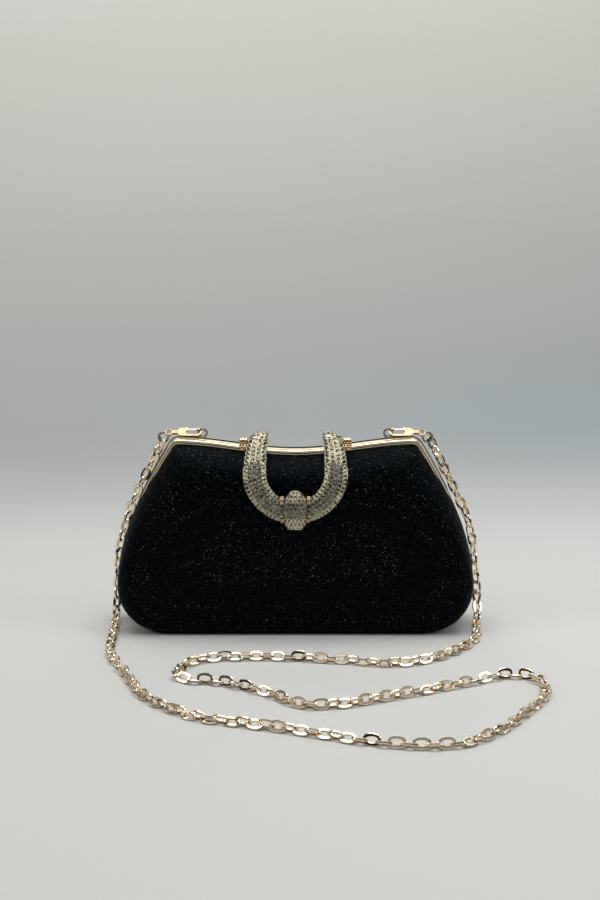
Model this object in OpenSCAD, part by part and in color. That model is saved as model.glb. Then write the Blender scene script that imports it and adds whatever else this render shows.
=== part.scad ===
// Evening bag: a hard-shell frame clutch with a jewelled bow clasp and a chain strap.
// Millimetres. +Z is up, +X is to the right of someone facing the front, the front faces -Y.
// The origin is the centre of the flat bottom, on the seam plane between the two halves.

/* [Bag] */
// Width of the bag at its widest
bag_w = 221; // [217:1:225]
// Width of the flat bottom, between the two round corners
flat_w = 160; // [156:1:164]
// Height of the frame at the middle of the saddle
saddle_z = 113; // [112:0.5:113.5]
// Height of the frame at its two horns
horn_z = 119.8; // [119:0.2:120.4]
// Depth of each half, from the seam to the fullest point of its face
half_depth = 25; // [24:0.5:25]

/* [Shell layers] */
// Thickness of the glitter cover
cover_t = 0.8; // [0.6:0.1:1]
// Thickness of the moulded core
core_t = 1.4; // [1:0.1:1.6]
// Thickness of the satin lining
lining_t = 0.6; // [0.4:0.1:0.8]

/* [Frame] */
// Depth of each rail, front to back
rail_d = 4.85; // [4.5:0.05:4.85]
// Width of each rail, measured in from the outline
rail_w = 6; // [5.6:0.1:6.4]
// How far the rail stands proud of the cover along the top
rail_proud = 3.2; // [2.2:0.1:3.4]
// Height of the hinge axis above the bottom
hinge_z = 12; // [11:0.5:13]
// Radius of the hinge rivets
rivet_r = 1.1; // [0.9:0.1:1.3]
// Radial clearance of each running fit
running_gap = 0.05; // [0.02:0.01:0.1]

/* [Clasp] */
// Outer radius of the bow
bow_r = 31.5; // [31:0.5:32]
// Inner radius of the bow
bow_bore_r = 17.7; // [17.2:0.1:18]
// Height of the centre of the bow's round part
bow_z = 104.5; // [104:0.5:105]
// Height of the clasp's hinge axis
clasp_z = 118.4; // [118.2:0.1:118.8]
// Radius of a stone in the bow
stone_r = 1.1; // [0.9:0.1:1.15]

/* [Strap] */
// Width of the chain across its links
chain_d = 5.5; // [5:0.1:5.5]
// Wire radius of the strap rings
ring_wire_r = 0.65; // [0.5:0.05:0.7]
// Middle radius of the strap rings
ring_r = 2.5; // [2.4:0.1:2.7]
// Distance of each strap ring from the middle of the bag
ring_x = 57; // [55:0.5:58]
// How far a claw hook leans forward about the line of the rail
hook_lean = 45; // [40:1:50]

/* [Hidden] */

$fn = 48;

gold = [0.83, 0.74, 0.58];
dark_gold = [0.55, 0.45, 0.3];
glitter = [0.05, 0.05, 0.06];
board = [0.35, 0.33, 0.3];
satin = [0.1, 0.09, 0.1];
crystal = [0.72, 0.73, 0.72];

half_w = bag_w / 2;
flat_half = flat_w / 2;
corner_r = half_w - flat_half;
// Half the gap between the two rails, at the seam
seam_gap = 0.15;
// Distance of a shell's rim from the seam: the rim butts against the rail
rim_y = seam_gap + rail_d;

// ---- Outline of the frame, seen from the front ----

// Where the side runs into the horn, and where the horn runs into the saddle
side_end = [77.9, horn_z - 3.7];
horn_tip = [75.6, horn_z];
horn_x = 71.2;
// Where the saddle's curve would level out again, past the horn
saddle_reach = 75;
// The two points that steer the curve of the side
side_steer = [[half_w, 52], [99, 82.5]];

function clamp01(v) = max(0, min(1, v));
function smooth01(v) = clamp01(v) * clamp01(v) * (3 - 2 * clamp01(v));
function mix(a, b, t) = a + (b - a) * t;
function bezier2(a, b, c, t) = mix(mix(a, b, t), mix(b, c, t), t);
function bezier3(a, b, c, d, t) = mix(bezier2(a, b, c, t), bezier2(b, c, d, t), t);
function rail_top(x) = (horn_z + saddle_z) / 2 - (horn_z - saddle_z) / 2 * cos(180 * x / saddle_reach);

flat_steps = 7;
corner_steps = 10;
side_steps = 12;
horn_steps = 4;
saddle_steps = 8;

flat_points = [for (i = [0 : flat_steps - 1]) [flat_half * i / flat_steps, 0]];
corner_points = [
    for (i = [0 : corner_steps - 1])
        let (a = 90 * i / corner_steps)
        [flat_half + corner_r * sin(a), corner_r * (1 - cos(a))]
];
side_points = [
    for (i = [0 : side_steps - 1])
        bezier3([half_w, corner_r], side_steer[0], side_steer[1], side_end, i / side_steps)
];
horn_points = [
    for (i = [0 : horn_steps - 1])
        bezier2(side_end, horn_tip, [horn_x, rail_top(horn_x)], i / horn_steps)
];
saddle_points = [
    for (i = [0 : saddle_steps])
        let (x = horn_x * (1 - i / saddle_steps))
        [x, rail_top(x)]
];
half_outline = concat(flat_points, corner_points, side_points, horn_points, saddle_points);
half_count = len(half_outline);
outline = concat(
    half_outline,
    [for (i = [half_count - 2 : -1 : 1]) [-half_outline[i].x, half_outline[i].y]]
);
count = len(outline);

function unit(v) = v / norm(v);
// The direction into the outline at its point i
function inward(i) =
    let (t = unit(outline[(i + 1) % count] - outline[(i + count - 1) % count]))
    [-t.y, t.x];
function inset(i, d) = outline[i] + inward(i) * d;

// The rail is proud along the top and narrows to nothing a third of the way down each side,
// then runs on just inside the cover
band_low_z = 77;
band_high_z = 108;
tuck_z = 70;
tuck = 0.4;
function proud(z) = rail_proud * clamp01((z - band_low_z) / (band_high_z - band_low_z));
function tucked(z) = tuck * (1 - clamp01((z - tuck_z) / (band_low_z - tuck_z)));
function cover_edge(i) = inset(i, proud(outline[i].y));
function rail_edge(i) = inset(i, tucked(outline[i].y));

// ---- Shell halves ----

// The faces shrink towards a level spine in the middle of the face
spine_z = 58;
spine_share = 0.55;
// The rolled edge: depth as a share of half_depth, then how far it has moved towards the spine
// at the bottom, and at the top
rolls = [
    [0.48, 0, 0.05],
    [0.68, 0.004, 0.12],
    [0.816, 0.04, 0.2],
    [0.912, 0.13, 0.33],
    [0.972, 0.42, 0.6]
];
ring_count = len(rolls) + 1;

// A point of a shell's surface, off millimetres below its outer face
function shell_point(i, ring, off) =
    let (
        edge = cover_edge(i),
        spine = [edge.x * spine_share, spine_z],
        roll = ring == 0 ? [rim_y / half_depth, 0, 0] : rolls[ring - 1],
        share = mix(roll[1], roll[2], smooth01(edge.y / saddle_z)) + off / spine_z,
        p = mix(edge, spine, share),
        y = ring == 0 ? rim_y : half_depth * roll[0] - off
    )
    [p.x, y, p.y];

function shell_skin(off) = concat(
    [for (ring = [0 : ring_count - 1]) for (i = [0 : count - 1]) shell_point(i, ring, off)],
    [[0, half_depth - off, spine_z]]
);

module shell_layer(outer_off, inner_off) {
    skin_size = ring_count * count + 1;
    skin_faces = [
        for (ring = [0 : ring_count - 2]) for (i = [0 : count - 1])
            let (a = ring * count + i, b = ring * count + (i + 1) % count)
            each [[a, b, b + count], [a, b + count, a + count]]
    ];
    cap_faces = [
        for (i = [0 : count - 1])
            [skin_size - 1, (ring_count - 1) * count + i, (ring_count - 1) * count + (i + 1) % count]
    ];
    outer_faces = concat(skin_faces, cap_faces);
    inner_faces = [for (f = outer_faces) [f[2] + skin_size, f[1] + skin_size, f[0] + skin_size]];
    rim_faces = [
        for (i = [0 : count - 1])
            let (j = (i + 1) % count)
            each [[i, i + skin_size, j + skin_size], [i, j + skin_size, j]]
    ];
    polyhedron(
        points = concat(shell_skin(outer_off), shell_skin(inner_off)),
        faces = concat(outer_faces, inner_faces, rim_faces)
    );
}

// The front half is the back half turned over the seam plane
module on_half(half) {
    if (half == "front") mirror([0, 1, 0]) children();
    else children();
}

module shell_cover(half) {
    color(glitter) on_half(half) shell_layer(0, cover_t);
}

module shell_core(half) {
    color(board) on_half(half) shell_layer(cover_t, cover_t + core_t);
}

module shell_lining(half) {
    color(satin) on_half(half) shell_layer(cover_t + core_t, cover_t + core_t + lining_t);
}

// ---- Frame rails and their hinge ----

// The arms of a rail end here, and a foot carries each ear inboard of the arm
arm_end_z = 17;
foot_h = 7;
ear_r = 3.2;
ear_t = 1.5;
back_ear_x = 99.4;
front_ear_x = 97.6;
foot_x = [97.6, 106.4];
rivet_head_r = 2;
rivet_head_t = 0.8;

arm_first = [for (i = [0 : half_count - 1]) if (outline[i].y > arm_end_z) i][0];
arm_last = count - arm_first;

// A drawing in X and Z, made solid from y_low to y_high
module extrude_y(y_low, y_high) {
    translate([0, y_high, 0]) rotate([90, 0, 0]) linear_extrude(y_high - y_low) children();
}

// A drawing in Y and Z, made solid from x_low to x_high
module extrude_x(x_low, x_high) {
    translate([x_low, 0, 0]) rotate([90, 0, 90]) linear_extrude(x_high - x_low) children();
}

module on_side(side) {
    if (side < 0) mirror([1, 0, 0]) children();
    else children();
}

module rail_ear(ear_x, bore_r) {
    difference() {
        extrude_x(ear_x, ear_x + ear_t) {
            translate([0, hinge_z]) circle(r = ear_r);
            translate([seam_gap, hinge_z]) square([ear_r - seam_gap, arm_end_z + 1 - hinge_z]);
        }
        translate([ear_x - 1, 0, hinge_z]) rotate([0, 90, 0]) cylinder(h = ear_t + 2, r = bore_r);
    }
}

// One rail, drawn for the back half
module rail_solid(ear_x, bore_r) {
    extrude_y(seam_gap, rim_y) polygon(concat(
        [for (i = [arm_first : arm_last]) rail_edge(i)],
        [for (i = [arm_last : -1 : arm_first]) inset(i, rail_w)]
    ));
    for (side = [-1, 1]) on_side(side) {
        translate([foot_x[0], seam_gap, arm_end_z])
            cube([foot_x[1] - foot_x[0], rail_d, foot_h]);
        rail_ear(ear_x, bore_r);
    }
}

module back_rail() {
    color(gold) rail_solid(back_ear_x, rivet_r);
}

module front_rail() {
    color(gold) mirror([0, 1, 0]) rail_solid(front_ear_x, rivet_r + running_gap);
}

module hinge_rivet(side) {
    inner_x = front_ear_x - running_gap;
    outer_x = back_ear_x + ear_t;
    color(dark_gold) on_side(side) translate([0, 0, hinge_z]) rotate([0, 90, 0]) {
        translate([0, 0, inner_x]) cylinder(h = outer_x - inner_x, r = rivet_r);
        translate([0, 0, inner_x - rivet_head_t]) cylinder(h = rivet_head_t, r = rivet_head_r);
        translate([0, 0, outer_x]) cylinder(h = rivet_head_t, r = rivet_head_r);
    }
}

// ---- Soft pieces between and inside the halves ----

gusset_half = 4.6;
gusset_t = 1.2;
gusset_gap = 0.5;
// How deep the fold goes into the bag, at the gusset's foot and at its top
gusset_fold = [5, 13];
gusset_first = half_count - saddle_steps - 1 - horn_steps - side_steps;
gusset_levels = side_steps - 1;

// One level of a side gusset: a V folded into the bag, deeper towards the top
function gusset_level(k) =
    let (
        p = inset(gusset_first + k, rail_w + gusset_gap),
        fold_x = p.x - mix(gusset_fold[0], gusset_fold[1], k / gusset_levels)
    )
    [
        [p.x, gusset_half, p.y], [fold_x, 0, p.y], [p.x, -gusset_half, p.y],
        [p.x, -gusset_half + gusset_t, p.y], [fold_x + 2 * gusset_t, 0, p.y],
        [p.x, gusset_half - gusset_t, p.y]
    ];

module side_gusset(side) {
    last = 6 * gusset_levels;
    color(satin) on_side(side) polyhedron(
        points = [for (k = [0 : gusset_levels]) each gusset_level(k)],
        faces = concat(
            [[0, 5, 4], [0, 4, 1], [1, 4, 3], [1, 3, 2]],
            [[last, last + 4, last + 5], [last, last + 1, last + 4],
             [last + 1, last + 3, last + 4], [last + 1, last + 2, last + 3]],
            [for (k = [0 : gusset_levels - 1]) for (i = [0 : 5])
                let (a = 6 * k + i, b = 6 * k + (i + 1) % 6)
                each [[a, b, b + 6], [a, b + 6, a + 6]]]
        )
    );
}

bottom_gap = 2;
bottom_t = 1;
bottom_half = rim_y - 0.1;

module bottom_gusset() {
    color(satin) translate([bottom_gap - flat_half, -bottom_half, 0])
        cube([flat_w - 2 * bottom_gap, 2 * bottom_half, bottom_t]);
}

pocket_w = 90;
pocket_h = 46;
pocket_y = half_depth - 4.5;
pocket_t = 0.7;
pocket_low_z = 28;

module slip_pocket() {
    color(satin) translate([-pocket_w / 2, pocket_y, pocket_low_z])
        cube([pocket_w, pocket_t, pocket_h]);
}

// ---- Strap rings, claw hooks and jump rings ----

ring_y = 3;
ring_z = 122.6;
base_w = 4.3;
base_d = 3.8;
base_low_z = 118.2;
base_h = 2.4;

module ring_base(side) {
    color(dark_gold) on_side(side)
        translate([ring_x - base_w / 2, ring_y - base_d / 2, base_low_z])
            cube([base_w, base_d, base_h]);
}

module wire_ring(middle_r, wire_r) {
    rotate([90, 0, 0]) rotate_extrude() translate([middle_r, 0]) circle(r = wire_r, $fn = 24);
}

module strap_ring(side) {
    color(gold) on_side(side) translate([ring_x, ring_y, ring_z]) wire_ring(ring_r, ring_wire_r);
}

// A claw hook is drawn flat, with its hole's end round the ring's wire at the drawing's origin,
// and laid along the rail
claw_half = 2.8;
claw_hole_half = 1.8;
claw_t = 2;
claw_first = 0.9;
claw_body = 10.2;
claw_hole_run = 5;
claw_neck_half = 0.9;
// The mouth, which the gate closes: where it starts and how long it is
mouth_u = 1.2;
mouth_run = 5.9;
mouth_v = 0.4;
gate_pivot = [8.9, 1.5];
// The slot that the gate's root turns in
gate_slot_u = 6;
gate_slot_run = 4.4;
gate_slot_v = 0.2;
gate_slot = 1.3;
gate_t = 0.7;
gate_r = 1;
gate_tip_u = 1.5;
gate_bar = 1;
tab_u = 6.6;
tab_v = 2.4;
tab_size = [1.2, 1.1];
gate_pin_r = 0.4;
spring_r = 0.65;
spring_wire_r = 0.1;
spring_w = 0.5;
eye_u = 18.2;
eye_r = 2;
eye_wire_r = 0.55;

module place_hook(side) {
    on_side(side)
        translate([ring_x + ring_r, ring_y, ring_z + 0.2]) rotate([hook_lean, 0, 0]) children();
}

module claw_drawing() {
    difference() {
        union() {
            translate([claw_first, 0]) circle(r = claw_half);
            translate([claw_first, -claw_half]) square([claw_body - claw_first, 2 * claw_half]);
            translate([claw_body, 0]) circle(r = claw_half);
            translate([claw_body, -claw_neck_half])
                square([eye_u - eye_r - claw_body, 2 * claw_neck_half]);
        }
        translate([claw_first, 0]) circle(r = claw_hole_half);
        translate([claw_first, -claw_hole_half]) square([claw_hole_run, 2 * claw_hole_half]);
        translate([claw_first + claw_hole_run, 0]) circle(r = claw_hole_half);
        translate([mouth_u, mouth_v]) square([mouth_run, claw_half]);
    }
}

module hook_body(side) {
    color(gold) place_hook(side) {
        difference() {
            translate([0, 0, -claw_t / 2]) linear_extrude(claw_t) claw_drawing();
            translate([gate_slot_u, gate_slot_v, -gate_slot / 2])
                cube([gate_slot_run, claw_half + 1, gate_slot]);
            translate([gate_pivot.x, gate_pivot.y, -claw_t]) cylinder(h = 2 * claw_t, r = gate_pin_r);
        }
        translate([eye_u, 0, 0]) rotate_extrude()
            translate([eye_r, 0]) circle(r = eye_wire_r, $fn = 24);
    }
}

module hook_pin(side) {
    color(dark_gold) place_hook(side)
        translate([gate_pivot.x, gate_pivot.y, -claw_t / 2]) cylinder(h = claw_t, r = gate_pin_r);
}

module hook_spring(side) {
    color(dark_gold) place_hook(side) for (w = [-spring_w, spring_w])
        translate([gate_pivot.x, gate_pivot.y, w]) rotate_extrude()
            translate([spring_r, 0]) circle(r = spring_wire_r, $fn = 16);
}

// The sprung gate closes the claw, and a thumb tab stands out of the claw's side
module hook_trigger(side) {
    color(gold) place_hook(side) difference() {
        translate([0, 0, -gate_t / 2]) linear_extrude(gate_t) {
            translate(gate_pivot) circle(r = gate_r);
            translate([gate_tip_u, gate_pivot.y]) square([gate_pivot.x - gate_tip_u, gate_bar]);
            translate([tab_u, tab_v]) square(tab_size);
        }
        translate([gate_pivot.x, gate_pivot.y, -1])
            cylinder(h = 2, r = gate_pin_r + running_gap);
    }
}

jump_x = 81.2;
jump_z = 119.9;
jump_r = 2.85;
jump_wire_r = 0.7;

module jump_ring(side) {
    color(dark_gold) on_side(side)
        translate([jump_x, ring_y, jump_z]) wire_ring(jump_r, jump_wire_r);
}

// ---- Chain strap ----

// The chain's middle line, from the left jump ring down to the ground, out in front of the bag
// in three runs and back up to the right jump ring
route = [
    [-83, 3, 116], [-89, 9, 103], [-96, 11, 90], [-105, 13, 69], [-112, 13, 42],
    [-113.5, 10, 16], [-113.8, 3, 4], [-112, -26, 2.8], [-109, -57, 2.8], [-96, -88, 2.8],
    [-81, -121, 2.8], [-54, -145, 2.8], [-30, -154, 2.8], [5, -165, 2.8], [42, -178, 2.8],
    [75, -181, 2.8], [100, -168, 2.8], [125, -136, 2.8], [138, -112, 2.8], [132, -93, 2.8],
    [117, -91, 2.8], [91, -103, 2.8], [55, -119, 2.8], [24, -131, 2.8], [3, -131, 2.8],
    [-17, -114, 2.8], [-43, -99.5, 2.8], [-61, -96.5, 2.8], [-67.5, -86, 2.8], [-56, -67, 2.8],
    [-20, -62, 2.8], [25, -67, 2.8], [61, -72, 2.8], [88, -59, 2.8], [108, -34, 2.8],
    [113.8, -6, 3], [114.5, 6, 20], [109.8, 7, 60], [99, 6, 86], [84, 3.5, 116]
];
route_last = len(route) - 1;
chain_sides = 8;
rings_per_leg = 2;

function route_at(i) = route[max(0, min(route_last, i))];
// A smooth curve through the route's points, kept above the ground
function route_point(i, t) =
    let (
        a = route_at(i - 1), b = route_at(i), c = route_at(i + 1), d = route_at(i + 2),
        p = 0.5 * (2 * b + (c - a) * t + (2 * a - 5 * b + 4 * c - d) * t * t
            + (3 * b - a - 3 * c + d) * t * t * t)
    )
    [p.x, p.y, max(p.z, chain_d / 2)];
chain_line = concat(
    [for (i = [0 : route_last - 1]) for (k = [0 : rings_per_leg - 1])
        route_point(i, k / rings_per_leg)],
    [route[route_last]]
);
chain_last = len(chain_line) - 1;
// No stretch of the chain runs along this direction, so it can steady the rings of the tube
chain_guide = [0, -1, 1];

function chain_ring(i) =
    let (
        t = unit(chain_line[min(chain_last, i + 1)] - chain_line[max(0, i - 1)]),
        a = unit(cross(t, chain_guide)),
        b = cross(t, a),
        step = 360 / chain_sides
    )
    [for (k = [0 : chain_sides - 1])
        let (p = chain_line[i] + chain_d / 2 * (cos(k * step) * a + sin(k * step) * b))
        [p.x, p.y, max(0, p.z)]];

module strap_chain() {
    end = chain_last * chain_sides;
    color(gold) polyhedron(
        points = [for (i = [0 : chain_last]) each chain_ring(i)],
        faces = concat(
            [[for (k = [0 : chain_sides - 1]) k]],
            [[for (k = [chain_sides - 1 : -1 : 0]) end + k]],
            [for (i = [0 : chain_last - 1]) for (k = [0 : chain_sides - 1])
                let (a = i * chain_sides + k, b = i * chain_sides + (k + 1) % chain_sides)
                each [[a, a + chain_sides, b + chain_sides], [a, b + chain_sides, b]]]
        )
    );
}

// ---- Clasp: knuckles and pins on the front rail, then the bow that swings on them ----

clasp_y = -2.6;
knuckle_x = [28.8, 34.4];
knuckle_r = 2.5;
knuckle_foot_y = -6.2;
knuckle_foot_z = 113.1;
knuckle_foot_d = -rim_y - knuckle_foot_y;
knuckle_foot_h = 3.9;
// The part of the foot that reaches back over the rail to the barrel
saddle_h = 0.8;
knuckle_bevel = 0.6;
// The wall left at the knuckle's outer end, where its bore and the pin stop
knuckle_wall = 0.6;
clasp_pin_r = 0.9;
clasp_pin_x = 19;
hub_x = [17.2, 28.5];

knuckle_run = knuckle_x[1] - knuckle_x[0] - 2 * knuckle_bevel;

module knuckle_solid() {
    difference() {
        union() {
            translate([knuckle_x[0], clasp_y, clasp_z]) rotate([0, 90, 0]) {
                cylinder(h = knuckle_bevel, r1 = knuckle_r - knuckle_bevel, r2 = knuckle_r);
                translate([0, 0, knuckle_bevel]) cylinder(h = knuckle_run, r = knuckle_r);
                translate([0, 0, knuckle_bevel + knuckle_run])
                    cylinder(h = knuckle_bevel, r1 = knuckle_r, r2 = knuckle_r - knuckle_bevel);
            }
            translate([knuckle_x[0], knuckle_foot_y, knuckle_foot_z])
                cube([knuckle_x[1] - knuckle_x[0], knuckle_foot_d, knuckle_foot_h]);
            translate([knuckle_x[0], knuckle_foot_y, knuckle_foot_z + knuckle_foot_h - saddle_h])
                cube([knuckle_x[1] - knuckle_x[0], clasp_y - knuckle_foot_y, saddle_h]);
        }
        translate([knuckle_x[0] - 1, clasp_y, clasp_z]) rotate([0, 90, 0])
            cylinder(h = knuckle_x[1] - knuckle_x[0] + 1 - knuckle_wall, r = clasp_pin_r);
    }
}

module clasp_knuckle(side) {
    color(gold) on_side(side) knuckle_solid();
}

module clasp_pin(side) {
    color(dark_gold) on_side(side) translate([clasp_pin_x, clasp_y, clasp_z]) rotate([0, 90, 0])
        cylinder(h = knuckle_x[1] - knuckle_wall - clasp_pin_x, r = clasp_pin_r);
}

// The bow's section seen from the side: over the hinge, down the shoulder and down the face
bow_face = [
    [0, 120.6], [-0.4, 122.8], [-2.2, 124.2], [-5, 123.6], [-9, 120.6], [-15, 114.6],
    [-20, 109], [-24.2, 103.2], [-27, 97], [-28.6, 90], [-29, 82], [-28.8, 72]
];
bow_back = [
    [-25.5, 72], [-25.5, 84], [-24.8, 92], [-22.6, 99.6], [-18.2, 106.4], [-13, 111.6],
    [-8.5, 115.4], [-5.4, 116.4], [-2.6, 115.9], [-0.1, 118.4]
];
// The bow's arms lean in a little towards the top
arm_top_z = 126;
arm_top_out = 29.8;
arm_top_in = 17;
crown_half = 7;
collar_t = 1.8;
collar_x = crown_half + collar_t;
clasp_back_y = bow_back[0].x;
// A distance in front of the seam that is past the whole clasp
far_y = 40;

module bow_drawing() {
    difference() {
        union() {
            translate([0, bow_z]) circle(r = bow_r, $fn = 96);
            polygon([[-bow_r, bow_z], [bow_r, bow_z], [arm_top_out, arm_top_z],
                [-arm_top_out, arm_top_z]]);
        }
        translate([0, bow_z]) circle(r = bow_bore_r, $fn = 96);
        polygon([[-bow_bore_r, bow_z], [bow_bore_r, bow_z], [arm_top_in, arm_top_z + 1],
            [-arm_top_in, arm_top_z + 1]]);
        translate([-bow_r, arm_top_z]) square([2 * bow_r, bow_r]);
    }
}

// An arm of the bow, with its hub, its bore and a step that leaves room for the knuckle
module bow_arm(side) {
    color(gold) on_side(side) difference() {
        union() {
            intersection() {
                extrude_y(-far_y, 5) bow_drawing();
                extrude_x(collar_x, bow_r + 1) polygon(concat(bow_face, bow_back));
            }
            translate([hub_x[0], clasp_y, clasp_z]) rotate([0, 90, 0])
                cylinder(h = hub_x[1] - hub_x[0], r = knuckle_r);
        }
        translate([clasp_pin_x - 0.5, clasp_y, clasp_z]) rotate([0, 90, 0])
            cylinder(h = bow_r, r = clasp_pin_r + running_gap);
        translate([hub_x[1], knuckle_foot_y - 0.5, clasp_z - 10]) cube([10, 10, 20]);
    }
}

module bow_collar(side) {
    color(gold) on_side(side) extrude_x(crown_half, collar_x) polygon([
        [clasp_back_y, 73], [-28.4, 73], [-29.5, 75], [-30, 82], [-29.5, 88], [-28.4, 90.4],
        [clasp_back_y, 90.4]
    ]);
}

crown_face = [
    [-27.4, 68.6], [-30.2, 72.6], [-31.6, 78], [-31.8, 82], [-31.4, 86], [-30, 90.2], [-27.8, 93.4]
];
// The crown's right edge seen from the front, from the bottom up
crown_edge = [
    [3, 68.6], [5.2, 69.7], [crown_half, 72.2], [crown_half, 88.2], [5.7, 90], [4.3, 92], [2.8, 93.4]
];

module clasp_crown() {
    color(gold) intersection() {
        extrude_y(-far_y, 0) polygon(concat(
            crown_edge,
            [for (i = [len(crown_edge) - 1 : -1 : 0]) [-crown_edge[i].x, crown_edge[i].y]]
        ));
        extrude_x(-crown_half, crown_half) polygon(concat(
            [[clasp_back_y, crown_edge[len(crown_edge) - 1].y], [clasp_back_y, crown_edge[0].y]],
            crown_face
        ));
    }
}

// The bow's front face as a table from height to depth, and its slope from two near heights
bow_depths = [for (i = [len(bow_face) - 1 : -1 : 2]) [bow_face[i].y, bow_face[i].x]];
crown_depths = [for (p = crown_face) [p.y, p.x]];

stone_h = 1.1;
stone_sink = 0.5;

// A stone set square to the face at x and z
module stone_on(x, z, depths, r) {
    reach = 0.8;
    y = lookup(z, depths);
    fall = lookup(z + reach, depths) - lookup(z - reach, depths);
    translate([x, y, z]) rotate([90 - atan2(fall, 2 * reach), 0, 0])
        translate([0, 0, -stone_sink]) cylinder(h = stone_h, r = r, $fn = 16);
}

row_count = 5;
row_pitch = (bow_r - bow_bore_r) / row_count;
// Each row of an arm's stones starts just clear of the collar and ends below the hinge
stone_gap = 0.2;
bend_pitch = 2.3;
arm_stones = 7;
arm_pitch = 2.2;
// The share of a row's distance from the middle that it loses with each millimetre up the arm
arm_lean = 0.0035;

module bow_stones(side) {
    color(crystal) on_side(side) for (row = [0 : row_count - 1]) {
        r = bow_bore_r + (row + 0.5) * row_pitch;
        from = asin((collar_x + stone_r + stone_gap) / r);
        bend_stones = floor(r * (90 - from) * PI / 180 / bend_pitch);
        for (k = [0 : bend_stones - 1]) {
            a = from + (90 - from) * k / bend_stones;
            stone_on(r * sin(a), bow_z - r * cos(a), bow_depths, stone_r);
        }
        for (k = [0 : arm_stones - 1])
            stone_on(r * (1 - arm_lean * k * arm_pitch), bow_z + k * arm_pitch, bow_depths, stone_r);
    }
}

// Height of each row of the crown's stones, and how many it has
crown_rows = [
    [70.8, 4], [73.3, 5], [75.8, 6], [78.3, 5], [80.8, 6], [83.3, 5], [85.8, 6], [88.3, 5], [90.8, 3]
];
crown_pitch = 2.35;
crown_stone_r = 0.9 * stone_r;

module crown_stones() {
    color(crystal) for (row = crown_rows) for (k = [0 : row[1] - 1])
        stone_on((k - (row[1] - 1) / 2) * crown_pitch, row[0], crown_depths, crown_stone_r);
}

shell_cover("back");  // back_cover
shell_core("back");  // back_core
shell_lining("back");  // back_lining
back_rail();
hinge_rivet(-1);  // hinge_rivet_left
hinge_rivet(1);  // hinge_rivet_right
side_gusset(-1);  // gusset_left
side_gusset(1);  // gusset_right
bottom_gusset();
slip_pocket();
ring_base(-1);  // ring_base_left
ring_base(1);  // ring_base_right
strap_ring(-1);  // strap_ring_left
strap_ring(1);  // strap_ring_right
hook_body(-1);  // hook_body_left
hook_body(1);  // hook_body_right
hook_pin(-1);  // hook_pin_left
hook_pin(1);  // hook_pin_right
hook_spring(-1);  // hook_spring_left
hook_spring(1);  // hook_spring_right
hook_trigger(-1);  // hook_trigger_left
hook_trigger(1);  // hook_trigger_right
jump_ring(-1);  // jump_ring_left
jump_ring(1);  // jump_ring_right
strap_chain();
shell_cover("front");  // front_cover
shell_core("front");  // front_core
shell_lining("front");  // front_lining
front_rail();
clasp_knuckle(-1);  // clasp_knuckle_left
clasp_knuckle(1);  // clasp_knuckle_right
clasp_pin(-1);  // clasp_pin_left
clasp_pin(1);  // clasp_pin_right
bow_arm(-1);  // bow_arm_left
bow_arm(1);  // bow_arm_right
bow_stones(-1);  // bow_stones_left
bow_stones(1);  // bow_stones_right
bow_collar(-1);  // bow_collar_left
bow_collar(1);  // bow_collar_right
clasp_crown();
crown_stones();
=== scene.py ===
"""Evening bag: what is seen of it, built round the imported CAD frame. Metres, +Z up, the front faces -Y."""
import math
import random

import bmesh
import bpy
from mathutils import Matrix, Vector


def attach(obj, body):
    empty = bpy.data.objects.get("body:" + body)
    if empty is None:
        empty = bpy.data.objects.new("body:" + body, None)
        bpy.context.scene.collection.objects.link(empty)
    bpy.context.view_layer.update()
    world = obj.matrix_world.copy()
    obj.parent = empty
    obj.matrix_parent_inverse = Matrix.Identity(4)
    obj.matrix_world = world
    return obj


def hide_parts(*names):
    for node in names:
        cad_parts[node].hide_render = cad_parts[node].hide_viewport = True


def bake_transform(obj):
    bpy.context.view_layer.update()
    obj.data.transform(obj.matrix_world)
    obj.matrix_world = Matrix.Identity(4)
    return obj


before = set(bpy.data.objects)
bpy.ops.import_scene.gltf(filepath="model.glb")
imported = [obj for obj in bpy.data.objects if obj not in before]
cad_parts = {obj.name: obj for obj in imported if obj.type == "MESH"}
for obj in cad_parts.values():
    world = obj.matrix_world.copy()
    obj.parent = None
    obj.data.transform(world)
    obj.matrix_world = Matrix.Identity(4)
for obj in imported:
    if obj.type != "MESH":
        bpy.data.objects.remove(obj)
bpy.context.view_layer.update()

MM = 0.001
rng = random.Random(41)
SIDES = ((-1, "left"), (1, "right"))


# ---- helpers

def clamp01(v):
    return max(0.0, min(1.0, v))


def smooth01(v):
    v = clamp01(v)
    return v * v * (3 - 2 * v)


def mix(a, b, t):
    return a + (b - a) * t


def mix2(a, b, t):
    return (mix(a[0], b[0], t), mix(a[1], b[1], t))


def spline(points, per_leg):
    """A Catmull-Rom curve through the points, per_leg steps to each leg, in any number of dimensions."""
    out = []
    last = len(points) - 1
    for i in range(last):
        a, b, c, d = (points[max(0, min(last, i + k))] for k in (-1, 0, 1, 2))
        for k in range(per_leg):
            t = k / per_leg
            out.append(tuple(
                0.5 * (2 * b[j] + (c[j] - a[j]) * t + (2 * a[j] - 5 * b[j] + 4 * c[j] - d[j]) * t * t
                       + (3 * b[j] - a[j] - 3 * c[j] + d[j]) * t ** 3)
                for j in range(len(b))))
    out.append(tuple(points[last]))
    return out


def table(rows, x):
    """Linear lookup of x in rows of (x, value), held at both ends."""
    if x <= rows[0][0]:
        return rows[0][1]
    for (x0, v0), (x1, v1) in zip(rows, rows[1:]):
        if x <= x1:
            return mix(v0, v1, (x - x0) / (x1 - x0))
    return rows[-1][1]


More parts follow.
